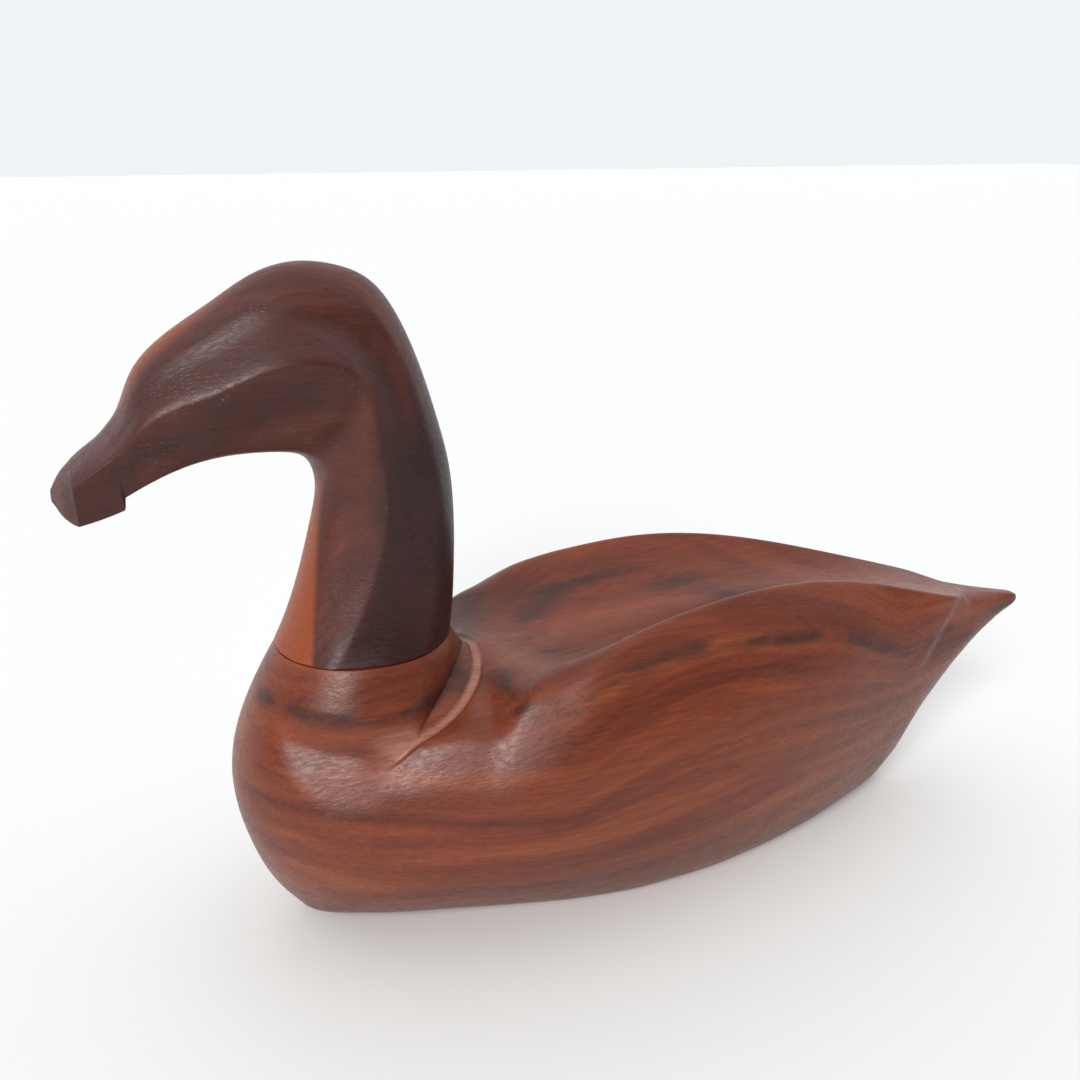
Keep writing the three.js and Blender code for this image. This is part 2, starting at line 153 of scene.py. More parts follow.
# Channels carved into both sides of the head: x, z along the middle and depth there
cheek_channel = {
    "path": [
        [51, 91.2, 0.0], [47, 90.2, 0.35], [44.2, 88.6, 0.7], [42.4, 86.0, 0.85], [41.8, 83.0, 0.75],
        [42.2, 79.8, 0.75], [43.4, 77.0, 1.0], [45.3, 74.8, 0.9], [47.5, 73.2, 0.3],
    ],
    "half_width": 2.0,
}
crown_ledge = {
    "path": [[58, 90.6, 0.0], [54.1, 92.5, 0.22], [48.6, 93.2, 0.3], [44.3, 92.9, 0.25], [39.5, 91.6, 0.0]],
    "half_width": 0.7,
}

# Edges of the head section from the jaw to the crown, each with its place along the section (0 throat
# side, 1 crown side), its half width and how sharp it is (0 round, 1 a corner)
jaw_edge = {
    "place": [[0, 0.05], [4, 0.07], [6, 0.06], [8, 0.04], [12, 0.035], [16, 0.05], [19, 0.06], [21, 0.1]],
    "width": [
        [0, 5.2], [1, 5.0], [3, 4.5], [5, 4.4], [7, 4.9], [10, 5.4], [13, 5.4], [15, 5.2], [16, 5.05],
        [19, 4.9], [20, 2.8], [21, 0.5],
    ],
    "sharp": [[0, 0.0], [6, 0.1], [9, 0.45], [14, 0.6], [16, 0.9], [21, 0.9]],
    "points": 12,
}
lower_cheek = {
    "place": [
        [0, 0.14], [1, 0.17], [2, 0.2], [4, 0.21], [6, 0.2], [8, 0.2], [12, 0.22], [16, 0.32],
        [19, 0.35], [21, 0.35],
    ],
    "width": [
        [0, 8.3], [1, 7.7], [2, 7.1], [3, 6.6], [5, 6.6], [7, 7.3], [10, 7.8], [12, 7.6], [14, 6.6],
        [16, 5.9], [19, 5.4], [20, 3.0], [21, 0.7],
    ],
    "sharp": [[0, 0.0], [21, 0.0]],
    "points": 14,
}
cheek_ridge = {
    "place": [
        [0, 0.27], [1, 0.32], [2, 0.38], [3, 0.42], [4, 0.43], [6, 0.46], [7, 0.52], [8, 0.55],
        [10, 0.52], [12, 0.5], [14, 0.58], [16, 0.7], [19, 0.66], [21, 0.6],
    ],
    "width": [
        [0, 10.65], [1, 9.9], [2, 9.25], [3, 8.9], [4, 8.7], [5, 8.9], [6, 9.6], [7, 10.5], [8, 11.0],
        [10, 10.9], [12, 9.9], [14, 8.1], [16, 6.9], [17, 6.6], [19, 6.0], [20, 3.3], [21, 0.8],
    ],
    "sharp": [
        [0, 0.1], [1, 0.5], [4, 0.5], [6, 0.3], [9, 0.5], [12, 0.35], [14, 0.2], [17, 0.6], [21, 0.8],
    ],
    "points": 16,
}
scoop = {
    "place": [
        [0, 0.6], [2, 0.63], [4, 0.64], [6, 0.68], [8, 0.73], [10, 0.73], [12, 0.72], [14, 0.76], [16, 0.82],
        [19, 0.82], [21, 0.75],
    ],
    "width": [
        [0, 11.75], [1, 9.9], [2, 8.4], [3, 7.7], [4, 7.5], [5, 7.5], [6, 7.5], [7, 7.4], [8, 7.3],
        [10, 7.2], [12, 6.8], [14, 5.8], [16, 5.3], [19, 4.6], [20, 2.5], [21, 0.6],
    ],
    "sharp": [[0, 0.0], [21, 0.0]],
    "points": 16,
}
crown_ridge = {
    "place": [
        [0, 0.86], [4, 0.86], [6, 0.87], [8, 0.88], [10, 0.87], [12, 0.87], [14, 0.9], [16, 0.93],
        [19, 0.93], [21, 0.9],
    ],
    "width": [
        [0, 8.2], [1, 7.3], [2, 6.4], [3, 6.0], [4, 5.9], [5, 5.8], [6, 5.7], [8, 5.5], [10, 5.3],
        [12, 4.9], [14, 3.7], [16, 3.1], [19, 2.6], [20, 1.4], [21, 0.4],
    ],
    "sharp": [[0, 0.0], [7, 0.1], [9, 0.5], [12, 0.4], [15, 0.1], [21, 0.1]],
    "points": 14,
}
head_edges = [jaw_edge, lower_cheek, cheek_ridge, scoop, crown_ridge]
CROWN_POINTS = 14
END_BULGE = 1.3

# Points closer than this are one, and edges that turn more than this angle stay sharp
MERGE_DISTANCE = 0.0001
SHARP_ANGLE = 38

# Camera: where it stands, which way it looks (degrees), its lens and its sensor
camera_place = (70.54, 144.12, 112.46)
CAMERA_TURN = 21.145
CAMERA_TILT = 20.5
CAMERA_LENS = 36.667
CAMERA_SENSOR = 36
NEAREST_SEEN = 0.01

# Light: where the window stands seen from the duck (turn from +X to +Y, height, spread, in degrees), its
# strength and colour, and the room's glow from its dim side to its pale side
WINDOW_TURN = 50.0
WINDOW_HEIGHT = 34.0
WINDOW_SPREAD = 26.0
WINDOW_STRENGTH = 3.3
WINDOW_COLOUR = (1.0, 0.97, 0.95)
PALE_SIDE = (-0.15, -0.72, 0.68)
room_glow = {"From Min": -0.3, "From Max": 0.75, "To Min": 0.03, "To Max": 1.1}
ROOM_COLOUR = (0.95, 0.98, 1.0, 1)
BACKDROP = 0.92

# Floor: half size in metres, colour and roughness
FLOOR_HALF = 3.0
FLOOR_COLOUR = (0.74, 0.745, 0.74, 1)
FLOOR_ROUGHNESS = 0.6

# Woods: how the fibres and the pores are drawn out (waves per millimetre along x, y, z), how strongly they
# show, the patches where pores lie, the range of roughness and the slow waves left by the tool
GLOSS = 0.3
body_look = {
    "fibres": (0.12, 2.4, 2.4), "fibre_shade": (0.45, 0.42, 0.42), "fibre_share": 0.55,
    "pores": (0.30, 2.6, 2.6), "pore_size": (0.10, 0.24), "pore_colour": (0.045, 0.014, 0.01),
    "pore_share": 0.35, "spots": (0.1, 0.4, 0.4), "spot_limits": (0.42, 0.6), "roughness": (0.30, 0.44),
    "waves": (0.10, 0.14, 0.14), "pore_relief": 0.4, "relief": 0.08,
}
head_look = {
    "fibres": (0.16, 2.6, 2.6), "fibre_shade": (0.5, 0.45, 0.45), "fibre_share": 0.5,
    "pores": (0.5, 2.6, 2.6), "pore_size": (0.10, 0.26), "pore_colour": (0.02, 0.008, 0.008),
    "pore_share": 0.4, "spots": (0.1, 0.3, 0.3), "spot_limits": (0.40, 0.6), "roughness": (0.34, 0.48),
    "waves": (0.12, 0.12, 0.12), "pore_relief": 0.5, "relief": 0.09,
}

# Growth layers of the body: levels bend down away from x = -6 over the wings; one of them is dark
growth = {
    "top": -6.0, "behind": -40.0, "before": 24.0, "bend": 0.0085, "flat_below": (14.0, 34.0), "least": 0.25,
    "wander": (0.022, 0.05, 0.05), "wander_height": 7.0, "waves": (0.014, 0.05, 0.22),
    "dark_level": 43.0, "dark_width": 2.0, "dark_breaks": (0.06, 0.25, 0.25), "dark_share": 0.8,
}
body_tones = [
    (0.25, (0.07, 0.018, 0.012)), (0.42, (0.135, 0.030, 0.015)), (0.55, (0.19, 0.043, 0.018)),
    (0.68, (0.25, 0.064, 0.024)), (0.8, (0.32, 0.10, 0.038)),
]
DARK_LAYER = (0.035, 0.018, 0.016)
PALE_GROOVE = (0.33, 0.15, 0.11)

# Layers of the head, its dark part behind a slanting line on the neck (dark heartwood with painted shade on
# the back of the neck, which turns from the window, and in the hollow under the cheek), and its two patches
# of sapwood
head_tones = [
    (0.30, (0.040, 0.013, 0.012)), (0.45, (0.066, 0.019, 0.015)), (0.58, (0.098, 0.026, 0.018)),
    (0.72, (0.145, 0.04, 0.024)),
]
head_layers = {"lean": 0.25, "wander": (0.05, 0.05, 0.05), "wander_height": 8.0, "waves": (0.02, 0.2, 0.05)}
dark_neck_and_shade = {"slant_below": 58.0, "slant": 0.5, "x": (39.0, 43.0), "z": (72.0, 84.0), "share": 0.75}
neck_sap = {"lean": 0.17, "front": (58.2, 59.0), "z": (66.0, 71.0), "x": (59.0, 62.0)}
forehead_sap = {"narrowing": 1.6, "front": (69.5, 75.0), "x": (54.0, 62.0), "z": (78.0, 82.0), "share": 0.75}
SAPWOOD = (0.26, 0.058, 0.018)
# Dark heartwood colour, also standing in as painted shade on the back of the neck and under the cheek
DARK_HEARTWOOD_AND_SHADE = (0.022, 0.008, 0.008)
flecks_look = {
    "cells": (0.9, 3.4, 3.4), "size": (0.12, 0.24), "patches": (0.09, 0.09, 0.16),
    "patch_limits": (0.50, 0.62), "z": (70.0, 80.0), "share": 0.45, "colour": (0.30, 0.19, 0.15),
}


def smooth_step(limits, value):
    """Smooth step from 0 to 1 between two limits."""
    t = np.clip((value - limits[0]) / (limits[1] - limits[0]), 0, 1)
    return t * t * (3 - 2 * t)


def bending_curve(rows):
    """Freely bending curve (natural cubic) through table rows [position, value, value, ...]."""
    table = np.array(rows, float)
    x, y = table[:, 0], table[:, 1:]
    gaps = np.diff(x)
    kinks = np.diff(np.diff(y, axis=0) / gaps[:, None], axis=0)
    matrix = np.diag(2 * (gaps[:-1] + gaps[1:])) + np.diag(gaps[1:-1], 1) + np.diag(gaps[1:-1], -1)
    bends = np.zeros_like(y)
    bends[1:-1] = np.linalg.solve(matrix, 6 * kinks)

    def curve(position):
        p = np.clip(position, x[0], x[-1])
        i = np.clip(np.searchsorted(x, p, side="right") - 1, 0, len(x) - 2)
        width = gaps[i][..., None]
        a = (x[i + 1] - p)[..., None] / width
        b = (p - x[i])[..., None] / width
        straight = a * y[i] + b * y[i + 1]
        return straight + ((a ** 3 - a) * bends[i] + (b ** 3 - b) * bends[i + 1]) * width ** 2 / 6

    return curve


def steady_curve(rows):
    """Curve through table rows [position, value] that never overshoots them."""
    x, y = np.array(rows, float).T
    gaps = np.diff(x)
    slopes = np.diff(y) / gaps
    tangents = np.concatenate([slopes[:1], np.zeros(len(x) - 2), slopes[-1:]])
    for i in range(1, len(x) - 1):
        if slopes[i - 1] * slopes[i] > 0:
            w1 = 2 * gaps[i] + gaps[i - 1]
            w2 = gaps[i] + 2 * gaps[i - 1]
            tangents[i] = (w1 + w2) / (w1 / slopes[i - 1] + w2 / slopes[i])

    def curve(position):
        p = np.clip(position, x[0], x[-1])
        i = np.clip(np.searchsorted(x, p, side="right") - 1, 0, len(x) - 2)
        t = (p - x[i]) / gaps[i]
        start = (2 * t ** 3 - 3 * t ** 2 + 1) * y[i] + (t ** 3 - 2 * t ** 2 + t) * gaps[i] * tangents[i]
        end = (3 * t ** 2 - 2 * t ** 3) * y[i + 1] + (t ** 3 - t ** 2) * gaps[i] * tangents[i + 1]
        return start + end

    return curve


def head_curve(rows):
    """Head curve: freely bending up to the front of the bill, steady from there over its front face."""
    head = [row for row in rows if row[0] <= BILL_FRONT]
    front = [row for row in rows if row[0] >= BILL_FRONT]
    if len(head) < 3 or len(front) < 2 or head[-1][0] != BILL_FRONT:
        return steady_curve(rows)
    head_part = bending_curve(head)
    front_part = steady_curve(front)

    def curve(position):
        return np.where(position <= BILL_FRONT, head_part(position)[..., 0], front_part(position))

    return curve


def lower_end(station):
    """Lower end of each body section: on the breast, on the edge of the flat base or on the keel."""
    breast = bending_curve(breast_line)(station)
    base_x = np.where(station < 0, bending_curve(base_line)(station)[:, 0], -station)
    keel = bending_curve(keel_line)(station)[:, 0]
    on_breast = station < STATION_BASE_FRONT
    on_keel = station > STATION_BASE_REAR
    x = np.where(on_breast, breast[:, 0], base_x)
    y = np.where(on_breast | on_keel, 0, steady_curve(base_outline)(base_x))
    z = np.where(on_breast, breast[:, 1], np.where(on_keel, keel, 0))
    return np.stack([x, y, z], axis=-1)


def ring_place(points):
    """Distance of points outside the neck joint's outline, and their angle from straight behind it."""
    behind = joint["x"] - points[..., 0]
    reach = np.hypot(behind / joint["half_length"], points[..., 1] / joint["half_width"])
    distance = (reach - 1) * (joint["half_length"] + joint["half_width"]) / 2
    angle = np.arctan2(np.abs(points[..., 1]), behind)
    return distance, angle


def ring_extent(points):
    """1 where the ring is cut, fading to 0 beside the neck and down the breast."""
    angle = ring_place(points)[1]
    return (1 - smooth_step(ring["fade_angles"], angle)) * smooth_step(ring["fade_heights"], points[..., 2])


def ring_depth(points):
    """Depth of the gouged ring behind the neck."""
    distance, angle = ring_place(points)
    beyond = np.maximum(distance - ring["hollow_start"], 0) / ring["hollow_reach"]
    hollow = smooth_step((0, ring["hollow_start"]), distance) * np.exp(-(beyond ** 2))
    off_middle = np.abs(distance - ring["distance"])
    channel = 1 - smooth_step(ring["channel"], off_middle)
    hollow = hollow * smooth_step(ring["hollow_angles"], angle)
    return (ring["hollow_depth"] * hollow + ring["depth"] * channel) * ring_extent(points)


def planed(points):
    """Points of the body with the shoulder planed flat."""
    facing = np.array(shoulder_plane["facing"])
    facing /= np.linalg.norm(facing)
    excess = (points - shoulder_plane["through"]) @ facing
    soft = shoulder_plane["softness"]
    cut = soft * np.logaddexp(0, excess / soft)
    cut = cut * smooth_step(shoulder_plane["clear"], ring_place(points)[0])
    return points - cut[..., None] * facing


def wing_end_depth(points):
    """How far the tail lies behind the wing's surface beyond the wing's rear end."""
    edge = wing_end["x"] + wing_end["slope"] * (wing_end["z"] - points[..., 2])
    beyond = smooth_step((-wing_end["width"], wing_end["width"]), edge - points[..., 0])
    depth = wing_end["depth"] * beyond * smooth_step(wing_end["fade_heights"], points[..., 2])
    depth = depth * smooth_step(wing_end["fade_half_widths"], points[..., 1])
    return np.where(points[..., 0] < wing_end["x"] + wing_end["reach"], depth, 0)


def body_half_sections(station):
    """Left half of each body section, from the base or keel over the flank and crest to the back."""
    low = lower_end(station)
    widest = bending_curve(widest_line)(station)
    crest = bending_curve(crest_line)(station)
    back_x, back_z = bending_curve(back_line)(station).T
    back = np.stack([back_x, np.zeros_like(back_x), back_z], axis=-1)
    lower_shape = steady_curve(lower_power)(station)
    upper_shape = steady_curve(upper_power)(station)
    back_shape = steady_curve(back_power)(station)
    softness = steady_curve(crest_softness)(station)

    def flank_point(t):
        point = widest + (low - widest) * t
        point[:, 1] = low[:, 1] + (widest[:, 1] - low[:, 1]) * np.maximum(1 - t * t, 0) ** lower_shape
        return point

    def shoulder_point(t):
        point = widest + (crest - widest) * t[:, None]
        point[:, 1] = widest[:, 1] - (widest[:, 1] - crest[:, 1]) * t ** upper_shape
        return point

    def back_point(t):
        point = back + (crest - back) * (t ** back_shape)[:, None]
        point[:, 1] = crest[:, 1] * t
        return point

    def rounding_start(other):
        """Where along the line from another point to the crest the rounding of the crest starts."""
        share = softness / np.linalg.norm(crest - other, axis=1)
        return 1 - np.minimum(share, CREST_ROUNDING_LIMIT)

    crest_start = rounding_start(widest)
    crest_end = rounding_start(back)
    bend_start = shoulder_point(crest_start)
    bend_end = back_point(crest_end)
    lower_count = body_points["lower_flank"]
    upper_count = body_points["upper_flank"]
    rows = [flank_point(math.cos(math.pi / 2 * i / lower_count)) for i in range(lower_count)]
    rows += [shoulder_point(crest_start * i / upper_count) for i in range(upper_count)]
    for i in range(body_points["crest"] + 1):
        t = i / body_points["crest"]
        rows.append((1 - t) ** 2 * bend_start + 2 * t * (1 - t) * crest + t ** 2 * bend_end)
    for i in range(1, body_points["back"] + 1):
        rows.append(back_point(crest_end * (1 - i / body_points["back"])))
    points = planed(np.stack(rows, axis=1))
    points[..., 2] -= ring_depth(points)
    points[..., 1] -= wing_end_depth(points)
    beyond = np.maximum(station - TAIL_ROUNDING, 0) / (STATION_TAIL - TAIL_ROUNDING)
    shrink = np.sqrt(np.maximum(1 - beyond ** 2, 0))[:, None, None]
    middle = (low + back)[:, None, :] / 2 * (1, 0, 1)
    return middle + (points - middle) * shrink


def channel_depth(channel, points):
    """Depth of a channel carved along a path over the side of the head."""
    place = points[..., (0, 2)]
    depth = np.zeros(points.shape[:-1])
    for start, end in zip(np.array(channel["path"][:-1]), np.array(channel["path"][1:])):
        along = end[:2] - start[:2]
        t = np.clip((place - start[:2]) @ along / (along @ along), 0, 1)
        distance = np.linalg.norm(place - start[:2] - t[..., None] * along, axis=-1)
        middle = start[2] + (end[2] - start[2]) * t
        depth = np.maximum(depth, middle * np.exp(-((distance / channel["half_width"]) ** 2)))
    return depth


def head_half_sections(number):
    """Left half of each head section, from the crown side over the cheek to the throat side."""
    ends = [head_curve([[row[0], row[column]] for row in head_ends])(number) for column in (1, 2, 3, 4)]
    inner = np.stack([ends[0], ends[1]], axis=-1)
    outer = np.stack([ends[2], ends[3]], axis=-1)
    length = np.linalg.norm(outer - inner, axis=-1)
    zero = np.zeros_like(length)
    corners = [np.stack([zero, zero], axis=-1)]
    sharp = [zero]
    for edge in head_edges:
        along = head_curve(edge["place"])(number) * length
        corners.append(np.stack([along, head_curve(edge["width"])(number)], axis=-1))
        sharp.append(head_curve(edge["sharp"])(number))
    corners.append(np.stack([length, zero], axis=-1))
    last = len(corners) - 1
    tangents = [np.stack([zero, END_BULGE * corners[1][:, 1]], axis=-1)]
    for i in range(1, last):
        tangents.append((corners[i + 1] - corners[i - 1]) / 2 * (1 - sharp[i])[:, None])
    tangents.append(np.stack([zero, -END_BULGE * corners[last - 1][:, 1]], axis=-1))
    counts = [edge["points"] for edge in head_edges] + [CROWN_POINTS]
    flat = []
    for i in range(last):
        for j in range(counts[i]):
            t = j / counts[i]
            start = (2 * t ** 3 - 3 * t ** 2 + 1) * corners[i] + (t ** 3 - 2 * t ** 2 + t) * tangents[i]
            end = (3 * t ** 2 - 2 * t ** 3) * corners[i + 1] + (t ** 3 - t ** 2) * tangents[i + 1]
            flat.append(start + end)
    flat.append(corners[last])
    flat = np.stack(flat[::-1], axis=1)
    direction = ((outer - inner) / length[:, None])[:, None, :]
    centre = inner[:, None, :] + flat[..., :1] * direction
    notch = smooth_step(bill_notch["drop"], number) * (1 - smooth_step(bill_notch["fade"], number))
    under = 1 - smooth_step(bill_notch["reach"], flat[..., 0] / length[:, None])
    centre = centre - bill_notch["depth"] * (notch[:, None] * under)[..., None] * direction
    points = np.stack([centre[..., 0], flat[..., 1], centre[..., 1]], axis=-1)
    points[..., 1] -= channel_depth(cheek_channel, points) + channel_depth(crown_ledge, points)
    points[..., 1] = np.maximum(points[..., 1], 0)
    return points


def stretch(start, end, count):
    """Evenly spaced stations from one end of a stretch up to, not including, the other."""
    return np.linspace(start, end, count, endpoint=False)


def skin(name, halves):
    """Closed mesh over half sections mirrored in the plane of symmetry, with a cap at each end.

    Points that coincide become one, and faces that this empties are left out.
    """
    mirrored = (halves * (1, -1, 1))[:, ::-1]
    rings = np.concatenate([halves, mirrored[:, 1:]], axis=1)
    sections, count = rings.shape[:2]
    points = rings.reshape(-1, 3)
    centres = np.stack([halves[i].mean(axis=0) * (1, 0, 1) for i in (0, -1)])
    points = np.concatenate([points, centres])
    keys = np.round(points / MERGE_DISTANCE).astype(np.int64)
    first, same = np.unique(keys, axis=0, return_index=True, return_inverse=True)[1:]
    same = same.ravel()
    faces = []
    for i in range(sections - 1):
        for j in range(count):
            k = (j + 1) % count
            corners = [i * count + j, (i + 1) * count + j, (i + 1) * count + k, i * count + k]
            faces.append([same[c] for c in corners])
    for centre, section, step in ((len(points) - 2, 0, 1), (len(points) - 1, sections - 1, -1)):
        for j in range(count):
            a, b = j, (j + 1) % count
            pair = (a, b) if step > 0 else (b, a)
            faces.append([same[centre]] + [same[section * count + c] for c in pair])
    clean = []
    for face in faces:
        kept = [int(v) for n, v in enumerate(face) if v != face[n - 1]]
        if len(kept) > 2 and len(set(kept)) == len(kept):
            clean.append(kept)
    mesh = bpy.data.meshes.new(name)
    mesh.from_pydata((points[first] * MM).tolist(), [], clean)
    mesh.validate()
    mesh.update()
    return mesh


def groove_mask(points):
    """1 on the floor of the channel behind the neck, 0 away from it and above the joint."""
    off_middle = np.abs(ring_place(points)[0] - ring["distance"])
    floor = 1 - smooth_step(ring["pale_floor"], off_middle)
    return floor * ring_extent(points) * (points[:, 2] < JOINT_LEVEL)


def wooden_piece(name, halves, material):
    """Object with a fine skin, smooth except at real corners."""
    mesh = skin(name, halves)
    places = np.array([vertex.co[:] for vertex in mesh.vertices]) / MM
    mask = mesh.attributes.new("groove", "FLOAT", "POINT")
    mask.data.foreach_set("value", groove_mask(places))
    mesh.polygons.foreach_set("use_smooth", [True] * len(mesh.polygons))
    mesh.set_sharp_from_angle(angle=math.radians(SHARP_ANGLE))
    mesh.materials.append(material)
    piece = bpy.data.objects.new(name, mesh)
    bpy.context.scene.collection.objects.link(piece)
    return piece


class Shader:
    """Node tree of one material, with a short call for each kind of node that it uses."""

    def __init__(self, name):
        self.material = bpy.data.materials.new(name)
        self.material.use_nodes = True
        self.tree = self.material.node_tree
        self.surface = self.tree.nodes["Principled BSDF"]

    def node(self, kind, inputs, **settings):
        node = self.tree.nodes.new(kind)
        for key, value in settings.items():
            setattr(node, key, value)
        for key, value in inputs.items():
            self.feed(node.inputs[key], value)
        return node

    def feed(self, socket, value):
        if isinstance(value, bpy.types.NodeSocket):
            self.tree.links.new(value, socket)
        else:
            socket.default_value = value

    def painted(self, name):
        """Value kept with the mesh."""
        return self.node("ShaderNodeAttribute", {}, attribute_name=name).outputs["Fac"]

    def place(self):
        """Place on the piece in millimetres."""
        coordinates = self.tree.nodes.new("ShaderNodeTexCoord").outputs["Object"]
        return self.node("ShaderNodeVectorMath", {0: coordinates, 3: 1 / MM}, operation="SCALE").outputs[0]

    def split(self, vector):
        return self.node("ShaderNodeSeparateXYZ", {0: vector}).outputs

    def join(self, x, y, z):
        return self.node("ShaderNodeCombineXYZ", {0: x, 1: y, 2: z}).outputs[0]

    def math(self, operation, a, b=0.0, c=0.0):
        return self.node("ShaderNodeMath", {0: a, 1: b, 2: c}, operation=operation).outputs[0]

    def scaled(self, vector, factors):
        return self.node("ShaderNodeVectorMath", {0: vector, 1: factors}, operation="MULTIPLY").outputs[0]

    def noise(self, vector, scale=1.0, detail=3.0, roughness=0.5):
        inputs = {"Vector": vector, "Scale": scale, "Detail": detail, "Roughness": roughness}
        return self.node("ShaderNodeTexNoise", inputs).outputs["Fac"]

    def cells(self, vector):
        return self.node("ShaderNodeTexVoronoi", {"Vector": vector, "Scale": 1.0}).outputs["Distance"]

    def step(self, value, low, high, to_low=0.0, to_high=1.0):
        """Smooth step of a value, from to_low at low to to_high at high."""
        inputs = {"Value": value, "From Min": low, "From Max": high, "To Min": to_low, "To Max": to_high}
        return self.node("ShaderNodeMapRange", inputs, interpolation_type="SMOOTHSTEP").outputs[0]

    def band(self, value, centre, half_width):
        """1 at the centre of a band, falling smoothly to 0 at its edges."""
        distance = self.math("ABSOLUTE", self.math("SUBTRACT", value, centre))
        return self.step(distance, 0.0, half_width, 1.0, 0.0)

    def ramp(self, factor, stops):
        node = self.node("ShaderNodeValToRGB", {"Fac": factor})
        elements = node.color_ramp.elements
        elements[0].position, elements[0].color = stops[0][0], (*stops[0][1], 1)
        elements[1].position, elements[1].color = stops[-1][0], (*stops[-1][1], 1)
        for position, color in stops[1:-1]:
            elements.new(position).color = (*color, 1)
        return node.outputs["Color"]

    def mix(self, factor, a, b, blend="MIX"):
        node = self.node("ShaderNodeMix", {}, data_type="RGBA", blend_type=blend)
        self.feed(node.inputs["Factor"], factor)
        for socket, value in ((node.inputs[6], a), (node.inputs[7], b)):
            self.feed(socket, value if isinstance(value, bpy.types.NodeSocket) else (*value, 1))
        return node.outputs[2]

    def bump(self, height, distance, strength=1.0, normal=None):
        inputs = {"Height": height, "Distance": distance * MM, "Strength": strength}
        if normal is not None:
            inputs["Normal"] = normal
        return self.node("ShaderNodeBump", inputs).outputs["Normal"]


def grained(s, place, wood, look):
    """Wood with fine fibres and dark pores drawn out along them; also the fibres and the pores."""
    fibres = s.noise(s.scaled(place, look["fibres"]), 1.0, 4.0, 0.6)
    shade = s.ramp(fibres, [(0.3, look["fibre_shade"]), (0.7, (1.0, 1.0, 1.0))])
    wood = s.mix(look["fibre_share"], wood, shade, "MULTIPLY")
    spots = s.noise(s.scaled(place, look["spots"]), 1.0, 2.0)
    pores = s.step(s.cells(s.scaled(place, look["pores"])), *look["pore_size"], 1.0, 0.0)
    pores = s.math("MULTIPLY", pores, s.step(spots, *look["spot_limits"]))
    wood = s.mix(s.math("MULTIPLY", pores, look["pore_share"]), wood, look["pore_colour"])
    return wood, fibres, pores


def oiled(s, place, wood, fibres, pores, look):
    """Finish the material: its colour, uneven gloss, fine relief and slow waves."""
    s.feed(s.surface.inputs["Base Color"], wood)
    s.feed(s.surface.inputs["Specular IOR Level"], GLOSS)
    uneven = s.noise(s.scaled(place, (0.5, 2.0, 2.0)), 1.0, 3.0)
    s.feed(s.surface.inputs["Roughness"], s.step(uneven, 0.3, 0.7, *look["roughness"]))
    pits = s.math("MULTIPLY", pores, look["pore_relief"])
    height = s.math("SUBTRACT", s.math("MULTIPLY", fibres, 0.8), pits)
    waves = s.bump(s.noise(s.scaled(place, look["waves"]), 1.0, 1.0), 0.5, 0.5)
    s.feed(s.surface.inputs["Normal"], s.bump(height, look["relief"], 0.7, waves))
    return s.material


def body_wood():
    """Red-brown wood with dark growth layers, orange streaks and short pores along the body."""
    s = Shader("body_wood")
    place = s.place()
    x, y, z = s.split(place)
    behind = s.math("MAXIMUM", s.math("SUBTRACT", x, growth["top"]), growth["behind"])
    behind = s.math("MINIMUM", behind, growth["before"])
    arch = s.math("MULTIPLY", s.math("MULTIPLY", behind, behind), growth["bend"])
    arch = s.math("MULTIPLY", arch, s.step(z, *growth["flat_below"], growth["least"], 1.0))
    wander = s.math("SUBTRACT", s.noise(s.scaled(place, growth["wander"]), 1.0, 2.0), 0.5)
    wander = s.math("MULTIPLY", wander, growth["wander_height"])
    layer = s.math("ADD", s.math("ADD", z, arch), wander)
    streaks = s.noise(s.scaled(s.join(x, y, layer), growth["waves"]), 1.0, 5.0, 0.62)
    wood = s.ramp(streaks, body_tones)
    breaks = s.step(s.noise(s.scaled(place, growth["dark_breaks"]), 1.0, 4.0, 0.6), 0.35, 0.6)
    dark = s.math("MULTIPLY", s.band(layer, growth["dark_level"], growth["dark_width"]), breaks)
    wood = s.mix(s.math("MULTIPLY", dark, growth["dark_share"]), wood, DARK_LAYER)
    wood, fibres, pores = grained(s, place, wood, body_look)
    groove = s.math("MULTIPLY", s.painted("groove"), s.step(fibres, 0.25, 0.6, 0.35, 0.85))
    wood = s.mix(groove, wood, PALE_GROOVE)
    return oiled(s, place, wood, fibres, pores, body_look)


